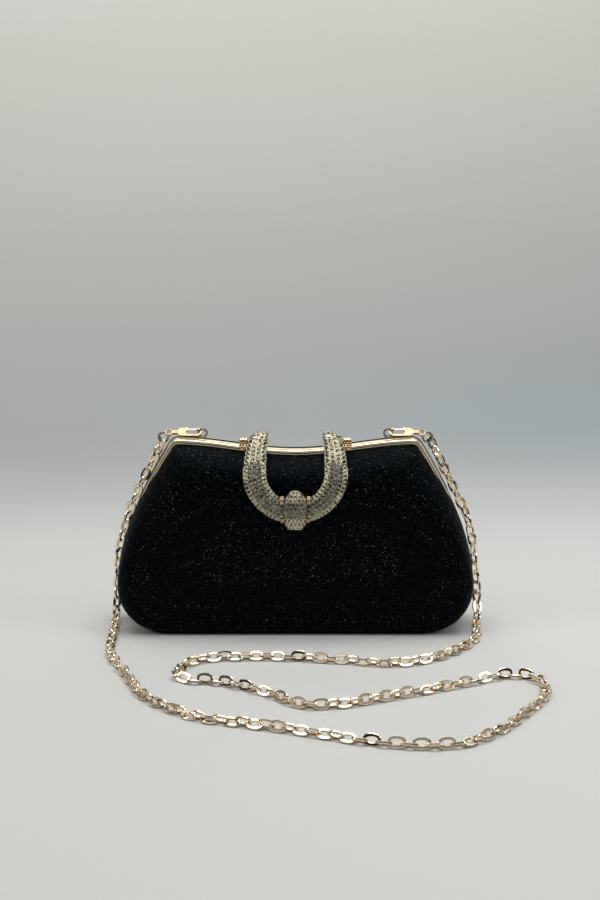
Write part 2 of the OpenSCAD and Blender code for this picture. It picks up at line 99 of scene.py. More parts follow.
class Mesh:
    """Collects points in millimetres and faces, then becomes one object in metres."""

    def __init__(self):
        self.points = []
        self.faces = []

    def grid(self, rows, close_u=False, close_v=False, flip=False):
        """Rows of points of one length. close_v joins each row's ends, close_u the last row to the first."""
        start = len(self.points)
        n = len(rows[0])
        for row in rows:
            self.points.extend(row)
        for r in range(len(rows) - (0 if close_u else 1)):
            for k in range(n - (0 if close_v else 1)):
                a = start + r * n + k
                b = start + r * n + (k + 1) % n
                c = start + ((r + 1) % len(rows)) * n + (k + 1) % n
                d = start + ((r + 1) % len(rows)) * n + k
                self.faces.append((d, c, b, a) if flip else (a, b, c, d))
        return start

    def tube(self, rows):
        """Closed rows, with a face over each end."""
        start = self.grid(rows, close_v=True)
        n = len(rows[0])
        end = start + n * (len(rows) - 1)
        self.faces.append(tuple(range(start, start + n))[::-1])
        self.faces.append(tuple(range(end, end + n)))

    def add(self, points, faces):
        start = len(self.points)
        self.points.extend(points)
        self.faces.extend(tuple(start + i for i in f) for f in faces)

    def build(self, name, material, smooth=True, merge=0.0, sharp=None):
        mesh = bpy.data.meshes.new(name)
        mesh.from_pydata([tuple(c * MM for c in p) for p in self.points], [], self.faces)
        bm = bmesh.new()
        bm.from_mesh(mesh)
        if merge:
            bmesh.ops.remove_doubles(bm, verts=bm.verts, dist=merge * MM)
        bmesh.ops.recalc_face_normals(bm, faces=bm.faces)
        for f in bm.faces:
            f.smooth = smooth
        if sharp is not None:
            limit = math.radians(sharp)
            for e in bm.edges:
                if len(e.link_faces) == 2 and e.calc_face_angle(0) > limit:
                    e.smooth = False
        bm.to_mesh(mesh)
        bm.free()
        mesh.materials.append(material)
        obj = bpy.data.objects.new(name, mesh)
        bpy.context.collection.objects.link(obj)
        return obj


def ring_mesh(mesh, centre, axis, radius, wire, around=48, section=14):
    """A wire ring about an axis."""
    axis = Vector(axis).normalized()
    a = axis.orthogonal().normalized()
    b = axis.cross(a)
    c = Vector(centre)
    rows = []
    for i in range(around):
        t = 2 * math.pi * i / around
        out = a * math.cos(t) + b * math.sin(t)
        rows.append([tuple(c + out * (radius + wire * math.cos(s)) + axis * (wire * math.sin(s)))
                     for s in (2 * math.pi * k / section for k in range(section))])
    mesh.grid(rows, close_u=True, close_v=True)


def rounded_box(mesh, low, high, r, steps=3):
    """A box with rounded edges all round, as a squashed superellipsoid of rings."""
    cx, cy, cz = ((low[i] + high[i]) / 2 for i in range(3))
    hx, hy, hz = ((high[i] - low[i]) / 2 for i in range(3))
    corner = []
    for quarter in range(4):
        for s in range(steps + 1):
            t = math.pi / 2 * (quarter + s / steps)
            sx = 1 if quarter in (0, 3) else -1
            sy = 1 if quarter in (0, 1) else -1
            corner.append((sx, sy, math.cos(t), math.sin(t)))
    rows = []
    levels = [(-1, i / steps) for i in range(steps + 1)] + [(1, 1 - i / steps) for i in range(steps + 1)]
    for sign, share in levels:
        t = math.pi / 2 * share
        grow = r * (1 - math.sin(t))
        z = sign * (hz - r + r * math.cos(t))
        rows.append([(cx + sx * (hx - r) + (r - grow) * cos, cy + sy * (hy - r) + (r - grow) * sin, cz + z)
                     for sx, sy, cos, sin in corner])
    mesh.tube(rows)


def turned(profile, centre, around=40):
    """The rows of a piece turned about X: profile is (x, r) pairs, centre is (y, z)."""
    return [[(x, centre[0] + r * math.cos(t), centre[1] + r * math.sin(t))
             for t in (2 * math.pi * k / around for k in range(around))] for x, r in profile]


def hoop(p, n, r, lift, around, turn=0.0):
    """Points round the axis n through p, lifted along it."""
    a = n.orthogonal().normalized()
    b = n.cross(a)
    return [tuple(p + (a * math.cos(t) + b * math.sin(t)) * r + n * lift)
            for t in (2 * math.pi * k / around + turn for k in range(around))]


def dress(obj, body, node=None):
    """Says which body a piece rides on, and the CAD node that it replaces, if any."""
    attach(obj, body)
    if node:
        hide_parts(node)
    return obj


# ---- camera

camera = bpy.data.objects.new("camera", bpy.data.cameras.new("camera"))
bpy.context.collection.objects.link(camera)
camera.location = (0.0028, -0.780, 0.2825)
camera.rotation_euler = (math.radians(77.7), 0, 0)
camera.data.lens = 52
camera.data.sensor_width = 36
camera.data.clip_end = 20
bpy.context.scene.camera = camera
bpy.context.scene.view_settings.view_transform = "Standard"


# ---- materials

def nodes_of(name):
    """A new material, its node tree and its shader."""
    m = bpy.data.materials.new(name)
    m.use_nodes = True
    tree = m.node_tree
    return m, tree, tree.nodes["Principled BSDF"]


def set_inputs(node, **values):
    """Sets a node's sockets, with _ for the spaces in their names."""
    for name, value in values.items():
        node.inputs[name.replace("_", " ")].default_value = value


def link(output, socket):
    socket.id_data.links.new(output, socket)


def texture_coord(tree, scale=(1, 1, 1)):
    """Object coordinates in millimetres, stretched by scale."""
    coord = tree.nodes.new("ShaderNodeTexCoord")
    mapping = tree.nodes.new("ShaderNodeMapping")
    set_inputs(mapping, Scale=tuple(s / MM for s in scale))
    link(coord.outputs["Object"], mapping.inputs["Vector"])
    return mapping.outputs["Vector"]


def noise(tree, vector, scale, detail=2.0, rough=0.5):
    n = tree.nodes.new("ShaderNodeTexNoise")
    set_inputs(n, Scale=scale, Detail=detail, Roughness=rough)
    link(vector, n.inputs["Vector"])
    return n.outputs["Fac"]


def voronoi(tree, vector, scale, randomness=1.0):
    n = tree.nodes.new("ShaderNodeTexVoronoi")
    set_inputs(n, Scale=scale, Randomness=randomness)
    link(vector, n.inputs["Vector"])
    return n


def ramp(tree, value, stops):
    """The colour at value on a ramp of (place, colour) stops."""
    n = tree.nodes.new("ShaderNodeValToRGB")
    elements = n.color_ramp.elements
    while len(elements) < len(stops):
        elements.new(0.5)
    for e, (pos, colour) in zip(elements, stops):
        e.position = pos
        e.color = (*colour, 1)
    link(value, n.inputs["Fac"])
    return n.outputs["Color"]


def grey(v):
    return (v, v, v)


def split_colour(tree, colour):
    n = tree.nodes.new("ShaderNodeSeparateColor")
    link(colour, n.inputs["Color"])
    return n


def colour_mix(tree, factor):
    """A mix of two colours, whose sockets are 6 and 7."""
    n = tree.nodes.new("ShaderNodeMix")
    n.data_type = "RGBA"
    link(factor, n.inputs["Factor"])
    return n


def bump(tree, bsdf, height, strength, distance):
    n = tree.nodes.new("ShaderNodeBump")
    set_inputs(n, Strength=strength, Distance=distance * MM)
    link(height, n.inputs["Height"])
    link(n.outputs["Normal"], bsdf.inputs["Normal"])


def math_node(tree, op, a, b):
    n = tree.nodes.new("ShaderNodeMath")
    n.operation = op
    for i, v in enumerate((a, b)):
        if isinstance(v, (int, float)):
            n.inputs[i].default_value = v
        else:
            link(v, n.inputs[i])
    return n.outputs[0]


def gold(name, light, dark, rough_low, rough_high, dent=0.02, patch=0.12):
    """Polished plate: the colour drifts a little from patch to patch, with fine polishing marks."""
    m, tree, bsdf = nodes_of(name)
    v = texture_coord(tree)
    set_inputs(bsdf, Metallic=1.0)
    drift = noise(tree, v, patch, 3.0, 0.6)
    link(ramp(tree, drift, [(0.3, dark), (0.7, light)]), bsdf.inputs["Base Color"])
    marks = noise(tree, v, 1.7, 4.0, 0.65)
    link(ramp(tree, marks, [(0.3, grey(rough_low)), (0.75, grey(rough_high))]), bsdf.inputs["Roughness"])
    bump(tree, bsdf, noise(tree, v, 0.9, 3.0, 0.5), 0.25, dent)
    return m


def glitter_cloth():
    """Near-black cloth with a fine upright rib and dark flakes all over; a few flakes are painted light grey
    as painted glints.
    """
    m, tree, bsdf = nodes_of("glitter_fabric")
    v = texture_coord(tree)
    rib_v = texture_coord(tree, (1, 1, 0.18))
    flakes = voronoi(tree, v, 1.9)
    sparks = voronoi(tree, v, 1.25)
    split = split_colour(tree, flakes.outputs["Color"])
    spark_split = split_colour(tree, sparks.outputs["Color"])
    cloth = ramp(tree, split.outputs["Red"], [
        (0.0, (0.0001, 0.0002, 0.0004)), (0.55, (0.0003, 0.0006, 0.001)),
        (0.8, (0.0016, 0.0023, 0.0031)), (0.93, (0.008, 0.009, 0.0105)), (1.0, (0.03, 0.031, 0.033))])
    # Painted glints: a few flake cells, picked at random, get a light grey base colour.
    lit = ramp(tree, spark_split.outputs["Green"], [(0.93, grey(0)), (0.965, grey(0.3)), (1.0, grey(1))])
    core = ramp(tree, sparks.outputs["Distance"], [(0.26, grey(1)), (0.4, grey(0))])
    spark = math_node(tree, "MULTIPLY", lit, core)
    blend = colour_mix(tree, spark)
    link(cloth, blend.inputs[6])
    blend.inputs[7].default_value = (0.26, 0.27, 0.28, 1)
    link(blend.outputs[2], bsdf.inputs["Base Color"])
    link(ramp(tree, split.outputs["Blue"], [(0.0, grey(0.62)), (1.0, grey(0.38))]), bsdf.inputs["Roughness"])
    set_inputs(bsdf, Specular_IOR_Level=0.045, Specular_Tint=(0.45, 0.85, 1.0, 1))
    rib = noise(tree, rib_v, 2.6, 3.0, 0.6)
    flake_height = math_node(tree, "ADD", math_node(tree, "MULTIPLY", split.outputs["Green"], 0.7), rib)
    bump(tree, bsdf, flake_height, 0.75, 0.22)
    return m


def satin():
    """Black lining satin, with a fine weave and soft wrinkles."""
    m, tree, bsdf = nodes_of("satin")
    v = texture_coord(tree)
    weave = voronoi(tree, texture_coord(tree, (3.2, 3.2, 1.1)), 1.0, 0.35)
    soft = noise(tree, v, 0.05, 3.0, 0.55)
    tone = ramp(tree, soft, [(0.3, (0.012, 0.011, 0.012)), (0.7, (0.03, 0.028, 0.03))])
    link(tone, bsdf.inputs["Base Color"])
    set_inputs(bsdf, Roughness=0.36, Sheen_Weight=0.35, Sheen_Roughness=0.4, Anisotropic=0.4)
    height = math_node(tree, "ADD", math_node(tree, "MULTIPLY", weave.outputs["Distance"], 0.06), soft)
    bump(tree, bsdf, height, 0.6, 0.9)
    return m


def board():
    """Pressed board of the shells' cores."""
    m, tree, bsdf = nodes_of("shell_board")
    v = texture_coord(tree)
    speck = noise(tree, v, 1.3, 4.0, 0.7)
    link(ramp(tree, speck, [(0.3, (0.2, 0.18, 0.15)), (0.7, (0.34, 0.31, 0.27))]), bsdf.inputs["Base Color"])
    set_inputs(bsdf, Roughness=0.85)
    bump(tree, bsdf, speck, 0.5, 0.15)
    return m


def stone_material(name, light, dark, rough):
    """Foil-backed cut stones: each stone has its own tone."""
    m, tree, bsdf = nodes_of(name)
    cell = voronoi(tree, texture_coord(tree), 0.55)
    split = split_colour(tree, cell.outputs["Color"])
    link(ramp(tree, split.outputs["Red"], [(0.1, dark), (0.9, light)]), bsdf.inputs["Base Color"])
    set_inputs(bsdf, Metallic=0.82, Coat_Weight=0.45, Coat_Roughness=0.03, Coat_IOR=1.7)
    polish = ramp(tree, split.outputs["Green"], [(0.0, grey(rough)), (1.0, grey(rough + 0.1))])
    link(polish, bsdf.inputs["Roughness"])
    return m


GLITTER = glitter_cloth()
SATIN = satin()
BOARD = board()
RAIL_GOLD = gold("rail_gold", (0.86, 0.74, 0.53), (0.76, 0.63, 0.42), 0.12, 0.24, patch=0.06)
CLASP_GOLD = gold("clasp_gold", (0.95, 0.88, 0.64), (0.80, 0.71, 0.46), 0.12, 0.26)
# Painted shade: bezels and prongs in the shaded zones are a darker copy of the clasp gold.
SHADED_SEAT_GOLD = gold("shaded_seat_gold", (0.52, 0.49, 0.37), (0.32, 0.30, 0.22), 0.14, 0.3)
# Painted shade: the casting round and between the stones is a much darker gold, standing for its shadow.
SHADED_CAST_GOLD = gold("shaded_cast_gold", (0.24, 0.225, 0.17), (0.13, 0.12, 0.085), 0.2, 0.36)
HARD_GOLD = gold("hardware_gold", (0.92, 0.77, 0.55), (0.78, 0.58, 0.34), 0.1, 0.22)
FOOT_GOLD = gold("foot_gold", (0.80, 0.50, 0.25), (0.62, 0.34, 0.14), 0.12, 0.24)
HOOK_GOLD = gold("hook_gold", (0.72, 0.56, 0.36), (0.45, 0.29, 0.14), 0.1, 0.24, dent=0.05, patch=0.3)
RING_GOLD = gold("ring_gold", (0.40, 0.34, 0.26), (0.26, 0.21, 0.15), 0.06, 0.14)
CHAIN_GOLD = gold("chain_gold", (1.0, 0.87, 0.68), (0.90, 0.73, 0.53), 0.07, 0.2, patch=0.09)
PIN_GOLD = gold("pin_gold", (0.66, 0.52, 0.34), (0.5, 0.37, 0.22), 0.2, 0.38)
STONE_LIGHT = stone_material("crystal_light", (0.46, 0.45, 0.37), (0.02, 0.021, 0.019), 0.04)
# A darker copy of the stone material: painted shade on the lower and middle stones.
STONE_SHADED = stone_material("crystal_shaded", (0.24, 0.24, 0.205), (0.008, 0.009, 0.01), 0.04)


# ---- chain

ROUTE = [(x * MM, y * MM, z * MM) for x, y, z in (
    (-83, 3, 116), (-89, 9, 103), (-96, 11, 90), (-105, 13, 69), (-112, 13, 42),
    (-113.5, 10, 16), (-113.8, 3, 4), (-112, -26, 2.8), (-109, -57, 2.8), (-96, -88, 2.8),
    (-81, -121, 2.8), (-54, -145, 2.8), (-30, -154, 2.8), (5, -165, 2.8), (42, -178, 2.8),
    (75, -181, 2.8), (100, -168, 2.8), (125, -136, 2.8), (138, -112, 2.8), (132, -93, 2.8),
    (117, -91, 2.8), (91, -103, 2.8), (55, -119, 2.8), (24, -131, 2.8), (3, -131, 2.8),
    (-17, -114, 2.8), (-43, -99.5, 2.8), (-61, -96.5, 2.8), (-67.5, -86, 2.8), (-56, -67, 2.8),
    (-20, -62, 2.8), (25, -67, 2.8), (61, -72, 2.8), (88, -59, 2.8), (108, -34, 2.8),
    (113.8, -6, 3), (114.5, 6, 20), (109.8, 7, 60), (99, 6, 86), (84, 3.5, 116))]
CHAIN_D = 5.5

LINK_PITCH = 6.25
LINK_LENGTH = 9.5
LINK_WIDTH = 6.5
# The link's wire is flattened: its width in the plane of the link, its thickness, and its cut corners
LINK_WIRE_W = 1.8
LINK_WIRE_T = 1.3
LINK_CUT = 0.32
LINK_STEPS = 24
# Below 1, the oval bulges towards a rounded rectangle
LINK_OVAL = 0.86
# A link's lean from upright: the mean, the slow swing along the chain, and the chance part, in radians
LINK_ROLL = math.radians(52)
ROLL_SWING = 0.22
ROLL_CHANCE = 0.3
TWIST_CHANCE = 0.2
# Links whose middle is below this lie on the ground, and no middle is below the second height
LYING_BELOW = CHAIN_D / 2 + 0.4
LOWEST_MIDDLE = 1.4


def even_line(points, step):
    """Points a fixed step apart along a line, and the line's whole length."""
    length = sum(math.dist(a, b) for a, b in zip(points, points[1:]))
    count = round(length / step)
    step = length / count
    out = [points[0]]
    need = step
    walked = 0.0
    for a, b in zip(points, points[1:]):
        leg = math.dist(a, b)
        while walked + leg >= need - 1e-9 and len(out) < count:
            t = (need - walked) / leg
            out.append(tuple(mix(a[k], b[k], t) for k in range(3)))
            need += step
        walked += leg
    out.append(points[-1])
    return out, length


def add_link(mesh, centre, along, side, up):
    """One oval link of flattened, corner-cut wire, lifted if it would dip into the ground."""
    reach_u = (LINK_LENGTH - LINK_WIRE_W) / 2
    reach_v = (LINK_WIDTH - LINK_WIRE_W) / 2
    w, t, cut = LINK_WIRE_W / 2, LINK_WIRE_T / 2, LINK_CUT
    section = [(w, -t + cut), (w, t - cut), (w - cut, t), (-w + cut, t),
               (-w, t - cut), (-w, -t + cut), (-w + cut, -t), (w - cut, -t)]
    rows = []
    for k in range(LINK_STEPS):
        a = 2 * math.pi * k / LINK_STEPS
        c, d = math.cos(a), math.sin(a)
        u = reach_u * math.copysign(abs(c) ** LINK_OVAL, c)
        v = reach_v * math.copysign(abs(d) ** LINK_OVAL, d)
        nu, nv = c / reach_u, d / reach_v
        size = math.hypot(nu, nv)
        nu, nv = nu / size, nv / size
        rows.append([centre + along * (u + nu * p) + side * (v + nv * p) + up * q for p, q in section])
    lift = Vector((0, 0, max(0.0, -min(p.z for row in rows for p in row))))
    mesh.grid([[tuple(p + lift) for p in row] for row in rows], close_u=True, close_v=True)


def build_chain():
    """The strap's links along its route; also its length in mm and its middle line in metres."""
    dense = [(x / MM, y / MM, max(z / MM, CHAIN_D / 2)) for x, y, z in spline(ROUTE, 24)]
    spots, length = even_line(dense, LINK_PITCH)
    mesh = Mesh()
    last = len(spots) - 1
    for i, p in enumerate(spots):
        along = (Vector(spots[min(last, i + 1)]) - Vector(spots[max(0, i - 1)])).normalized()
        guide = Vector((0, 0, 1)) if abs(along.z) < 0.75 else Vector((0, -1, 0))
        side = along.cross(guide).normalized()
        up = side.cross(along)
        drift = LINK_ROLL + ROLL_SWING * math.sin(i * 0.17) + rng.uniform(-ROLL_CHANCE, ROLL_CHANCE)
        turn = drift if i % 2 else drift - math.pi / 2 + rng.uniform(-TWIST_CHANCE, TWIST_CHANCE)
        c, s = math.cos(turn), math.sin(turn)
        v, w = side * c + up * s, up * c - side * s
        centre = Vector(p)
        if centre.z < LYING_BELOW and abs(along.z) < 0.3:
            centre.z = max(abs(v.z) * LINK_WIDTH / 2 + abs(w.z) * LINK_WIRE_T / 2, LOWEST_MIDDLE)
        add_link(mesh, centre, along, v, w)
    obj = dress(mesh.build("strap_links", CHAIN_GOLD, sharp=32), "back_half", "strap_chain")
    return obj, length, [tuple(c * MM for c in p) for p in dense]


chain, chain_length, chain_path = build_chain()


# ---- outline of the frame, as in the CAD

HALF_W = 110.5
FLAT_HALF = 80.0
CORNER_R = 30.5
SADDLE_Z = 113.0
HORN_Z = 119.8
SADDLE_REACH = 75.0
SIDE_STEER = [(HALF_W, 52), (99, 82.5)]
SIDE_END = (77.9, 116.1)
HORN_TIP = (75.6, 119.8)
HORN_X = 71.2
FLAT_STEPS, CORNER_STEPS, SIDE_STEPS, HORN_STEPS, SADDLE_STEPS = 16, 18, 30, 10, 24
RAIL_W = 6.0
# The rails stand this far past the cover at the top, and it fades in between two heights
RAIL_PROUD = 3.2
PROUD_FROM_Z, PROUD_TO_Z = 77, 108
# Lower down, the rails are tucked in behind the outline instead
RAIL_TUCK = 0.4
TUCK_FROM_Z, TUCK_TO_Z = 70, 77
HALF_DEPTH = 25.0
SPINE_Z = 58.0


def rail_top(x):
    swing = math.cos(math.radians(180 * x / SADDLE_REACH))
    return (HORN_Z + SADDLE_Z) / 2 - (HORN_Z - SADDLE_Z) / 2 * swing


def bezier(points, t):
    while len(points) > 1:
        points = [mix2(a, b, t) for a, b in zip(points, points[1:])]
    return points[0]


def half_outline():
    """The outline's right half, from the middle of the bottom to the middle of the saddle."""
    out = [(FLAT_HALF * i / FLAT_STEPS, 0.0) for i in range(FLAT_STEPS)]
    out += [(FLAT_HALF + CORNER_R * math.sin(a), CORNER_R * (1 - math.cos(a)))
            for a in (math.pi / 2 * i / CORNER_STEPS for i in range(CORNER_STEPS))]
    out += [bezier([(HALF_W, CORNER_R), *SIDE_STEER, SIDE_END], i / SIDE_STEPS) for i in range(SIDE_STEPS)]
    horn = [SIDE_END, HORN_TIP, (HORN_X, rail_top(HORN_X))]
    out += [bezier(horn, i / HORN_STEPS) for i in range(HORN_STEPS)]
    for i in range(SADDLE_STEPS + 1):
        x = HORN_X * (1 - i / SADDLE_STEPS)
        out.append((x, rail_top(x)))
    return out


HALF = half_outline()
OUTLINE = HALF + [(-x, z) for x, z in HALF[-2:0:-1]]
COUNT = len(OUTLINE)


def inward(i):
    a, b = OUTLINE[i - 1], OUTLINE[(i + 1) % COUNT]
    d = math.hypot(b[0] - a[0], b[1] - a[1])
    return (-(b[1] - a[1]) / d, (b[0] - a[0]) / d)


INWARD = [inward(i) for i in range(COUNT)]


def inset(i, d):
    return (OUTLINE[i][0] + INWARD[i][0] * d, OUTLINE[i][1] + INWARD[i][1] * d)


def proud(z):
    return RAIL_PROUD * clamp01((z - PROUD_FROM_Z) / (PROUD_TO_Z - PROUD_FROM_Z))


def tucked(z):
    return RAIL_TUCK * (1 - clamp01((z - TUCK_FROM_Z) / (TUCK_TO_Z - TUCK_FROM_Z)))


# ---- shells

# Each ring's share of the depth, and how far it draws in at the bottom and at the top. A lining keeps the
# cover's depth at the rim, and lies its full thickness inside it from the first roll on.
RIM_DEPTH = 0.2
FIRST_ROLL = 0.48
ROLLS = spline([(RIM_DEPTH, 0.0, 0.0), (FIRST_ROLL, 0.0, 0.05), (0.68, 0.004, 0.12), (0.816, 0.04, 0.2),
                (0.912, 0.13, 0.33), (0.972, 0.42, 0.6)], 5)
CAP_RINGS = 7
COVER = (0.0, 0.8)
LINING = (2.2, 2.8)


def shell_point(i, roll, off, sign):
    """Point i of one ring of a shell, off mm inside the cover's face."""
    edge = inset(i, proud(OUTLINE[i][1]))
    spine = (edge[0] * 0.55, SPINE_Z)
    depth, low, high = roll
    share = mix(max(low, 0), high, smooth01(edge[1] / SADDLE_Z)) + off / SPINE_Z
    p = mix2(edge, spine, share)
    y = HALF_DEPTH * depth - off * clamp01((depth - RIM_DEPTH) / (FIRST_ROLL - RIM_DEPTH))
    return (p[0], sign * y, p[1])


def shell_rings(off, sign):
    """The rolled rings, and then flatter ones that close in on the middle."""
    rings = [[shell_point(i, roll, off, sign) for i in range(COUNT)] for roll in ROLLS]
    edge = rings[-1]
    y0 = abs(edge[0][1])
    for k in range(1, CAP_RINGS):
        s = k / CAP_RINGS
        y = sign * mix(y0, HALF_DEPTH - off, 1 - (1 - s) ** 2)
        rings.append([(p[0] * (1 - s), y, mix(p[2], SPINE_Z, s)) for p in edge])
    return rings


def shell_skin(mesh, off, sign, flip):
    rings = shell_rings(off, sign)
    start = mesh.grid(rings, close_v=True, flip=flip)
    tip = len(mesh.points)
    mesh.points.append((0, sign * (HALF_DEPTH - off), SPINE_Z))
    base = start + (len(rings) - 1) * COUNT
    for i in range(COUNT):
        a, b = base + i, base + (i + 1) % COUNT
        mesh.faces.append((tip, b, a) if flip else (tip, a, b))
    return start


def shell(name, outer, inner, sign, material):
    """One layer of a shell half, between two depths inside the cover's face."""
    mesh = Mesh()
    a = shell_skin(mesh, outer, sign, False)
    b = shell_skin(mesh, inner, sign, True)
    for i in range(COUNT):
        j = (i + 1) % COUNT
        mesh.faces.append((a + i, a + j, b + j, b + i))
    return mesh.build(name, material, sharp=50)


for half, sign in (("front", -1), ("back", 1)):
    dress(shell(f"{half}_cloth", *COVER, sign, GLITTER), f"{half}_half", f"{half}_cover")
    dress(shell(f"{half}_satin", *LINING, sign, SATIN), f"{half}_half", f"{half}_lining")


# ---- rails

ARM_END_Z = 17.0
ARM_FIRST = min(i for i, (x, z) in enumerate(HALF) if z > ARM_END_Z)
ARM_LAST = COUNT - ARM_FIRST

# A rail's section: how far in from its edge, and how far from the seam
RAIL_SECTION = [
    (1.0, 0.15), (0.35, 0.28), (0.0, 0.75), (0.0, 1.7), (0.0, 2.9), (0.02, 3.75), (0.42, 4.02), (0.42, 4.22),
    (0.16, 4.45), (0.3, 4.86), (0.62, 5.0), (1.3, 5.0), (1.55, 4.86), (1.8, 5.0), (2.7, 5.0), (2.9, 4.82),
    (3.2, 4.8), (4.2, 4.8), (5.6, 4.8), (6.0, 4.4), (6.0, 2.5), (6.0, 0.6), (5.6, 0.15), (3.0, 0.15)]
# The block at the end of each rail's arm: its x, y and z
ARM_END = (97.6, 106.4), (0.2, 4.95), (17.02, 23.9)
# The ear that the hinge rivet goes through: its neck's y and z, and its (x, radius) from the inner face
HINGE_Z = 12.0
EAR_T = 1.5
EAR_NECK = (0.2, 3.15), (12.6, 18.0)
EAR_PROFILE = [(0.0, 3.0), (0.2, 3.2), (1.3, 3.2), (EAR_T, 3.0)]
EAR_BORE_R = 1.15


def mirrored_box(mesh, side, sign, xs, ys, zs, r):
    """A rounded box given for the right side of the back half."""
    xs, ys = sorted(side * x for x in xs), sorted(sign * y for y in ys)
    rounded_box(mesh, (xs[0], ys[0], zs[0]), (xs[1], ys[1], zs[1]), r)


def add_ear(mesh, side, ear_x):
    profile = [(ear_x + x, r) for x, r in EAR_PROFILE]
    profile += [(x, EAR_BORE_R) for x, _ in reversed(profile)]
    mesh.grid(turned([(side * x, r) for x, r in profile], (0, HINGE_Z), 32), close_u=True, close_v=True)


def build_rail(name, sign, ear_x):
    """One half's rail along the sides and the top, with an ear at each end."""
    mesh = Mesh()
    rows = []
    for i in range(ARM_FIRST, ARM_LAST + 1):
        edge = tucked(OUTLINE[i][1])
        row = []
        for u, y in RAIL_SECTION:
            p = inset(i, max(edge, min(RAIL_W, edge + u)))
            row.append((p[0], sign * y, p[1]))
        rows.append(row)
    mesh.tube(rows)
    for side in (-1, 1):
        mirrored_box(mesh, side, sign, *ARM_END, 0.5)
        mirrored_box(mesh, side, sign, (ear_x, ear_x + EAR_T), *EAR_NECK, 0.2)
        add_ear(mesh, side, ear_x)
    return mesh.build(name, RAIL_GOLD, sharp=55)


# The front ears lie inside the back ones
for half, sign, ear_x in (("back", 1, 99.4), ("front", -1, 97.6)):
    dress(build_rail(f"{half}_rail_polished", sign, ear_x), f"{half}_half", f"{half}_rail")

PIPING_R = 0.46
PIPING_Y = 4.72
PIPING_IN = 0.12
PIPING_SIDES = 8
# Below the first height there is no piping, and up to the second it rises out of the rail
PIPING_FROM_Z, PIPING_FULL_Z = 78, 90
PIPING_SINK = 0.9


def build_piping():
    """The back cloth's turned edge, which stands just over the rear of the back rail."""
    mesh = Mesh()
    rows = []
    for i in range(ARM_FIRST, ARM_LAST + 1):
        z = OUTLINE[i][1]
        if z < PIPING_FROM_Z:
            continue
        sink = PIPING_SINK * (1 - smooth01((z - PIPING_FROM_Z) / (PIPING_FULL_Z - PIPING_FROM_Z)))
        row = []
        for k in range(PIPING_SIDES):
            t = 2 * math.pi * k / PIPING_SIDES
            p = inset(i, PIPING_IN + sink - PIPING_R * math.cos(t))
            row.append((p[0], PIPING_Y + PIPING_R * math.sin(t), p[1]))
        rows.append(row)
    mesh.tube(rows)
    return mesh.build("back_piping", GLITTER)


dress(build_piping(), "back_half")


# ---- gussets and pocket

def two_layers(name, front, back, merge, sharp):
    """A cloth from the rows of its two faces, joined along its four edges."""
    mesh = Mesh()
    a = mesh.grid(front)
    b = mesh.grid(back, flip=True)
    m, n = len(front), len(front[0])
    edges = [(r * n + c, (r + 1) * n + c) for r in range(m - 1) for c in (0, n - 1)]
    edges += [(r * n + c, r * n + c + 1) for c in range(n - 1) for r in (0, m - 1)]
    for p, q in edges:
        mesh.faces.append((a + p, a + q, b + q, b + p))
    return mesh.build(name, SATIN, merge=merge, sharp=sharp)


def sheet_strip(name, rows, thickness, across):
    """A cloth strip from the rows of one face, thickened along the direction that across(row) gives."""
    shifted = [[tuple(p[k] + thickness * across(r)[k] for k in range(3)) for p in row]
               for r, row in enumerate(rows)]
    return two_layers(name, rows, shifted, 0.001, 70)


# The side gussets run up the straight part of each side, from where the bottom corner ends
GUSSET_FIRST = FLAT_STEPS + CORNER_STEPS
GUSSET_LEVELS = 29
GUSSET_GAP = 0.35
GUSSET_FOLD = (5, 13)
GUSSET_HALF_W = 4.6
GUSSET_T = 0.6
GUSSET_RIPPLE = 0.35


def side_gusset(side, word):
    """Cloth folded inwards between the rails, deeper towards the top."""
    rows = []
    for k in range(GUSSET_LEVELS):
        p = inset(GUSSET_FIRST + k, RAIL_W + GUSSET_GAP)
        fold = mix(*GUSSET_FOLD, k / (GUSSET_LEVELS - 1))
        row = []
        for c in range(17):
            t = c / 8 - 1
            lift = (1 - abs(t)) ** 0.9
            ripple = GUSSET_RIPPLE * math.sin(k * 1.1 + c * 0.7) * lift
            row.append((side * (p[0] - fold * lift + ripple), -GUSSET_HALF_W * t, p[1]))
        rows.append(row)
    return sheet_strip(f"gusset_cloth_{word}", rows, GUSSET_T, lambda r: (-side, 0, 0))


for side, word in SIDES:
    gusset = side_gusset(side, word)
    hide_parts(f"gusset_{word}")
    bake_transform(gusset)


BOTTOM_HALF_W = 4.85
BOTTOM_T = 0.5
# How far inside the outline the bottom cloth is at its edges, how much more in its middle, and its lowest z
BOTTOM_IN = 0.15
BOTTOM_SAG = 0.45
BOTTOM_LOW_Z = 0.05


def bottom_strip():
    """The cloth that joins the halves along the bottom and round both corners, up to the rails' ends."""
    loop = [i % COUNT for i in range(1 - ARM_FIRST, ARM_FIRST)]
    rows = []
    for i in loop:
        row = []
        for c in range(9):
            t = c / 4 - 1
            p = inset(i, BOTTOM_IN + BOTTOM_SAG * (1 - t * t))
            row.append((p[0], -BOTTOM_HALF_W * t, max(p[1], BOTTOM_LOW_Z)))
        rows.append(row)
    return sheet_strip("bottom_cloth", rows, BOTTOM_T, lambda r: (INWARD[loop[r]][0], 0, INWARD[loop[r]][1]))


bottom = bottom_strip()
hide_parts("bottom_gusset")
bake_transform(bottom)


POCKET_HALF_W = 45
POCKET_H = 46
POCKET_LOW_Z = 28
POCKET_Y = 20.55
POCKET_BACK_Y = 21.2
POCKET_ROWS, POCKET_COLUMNS = 24, 40
# The hem is the top rows, and stands a little prouder; the cloth gathers towards it
HEM_FROM_ROW = 21
HEM = 0.18
GATHER = 0.12


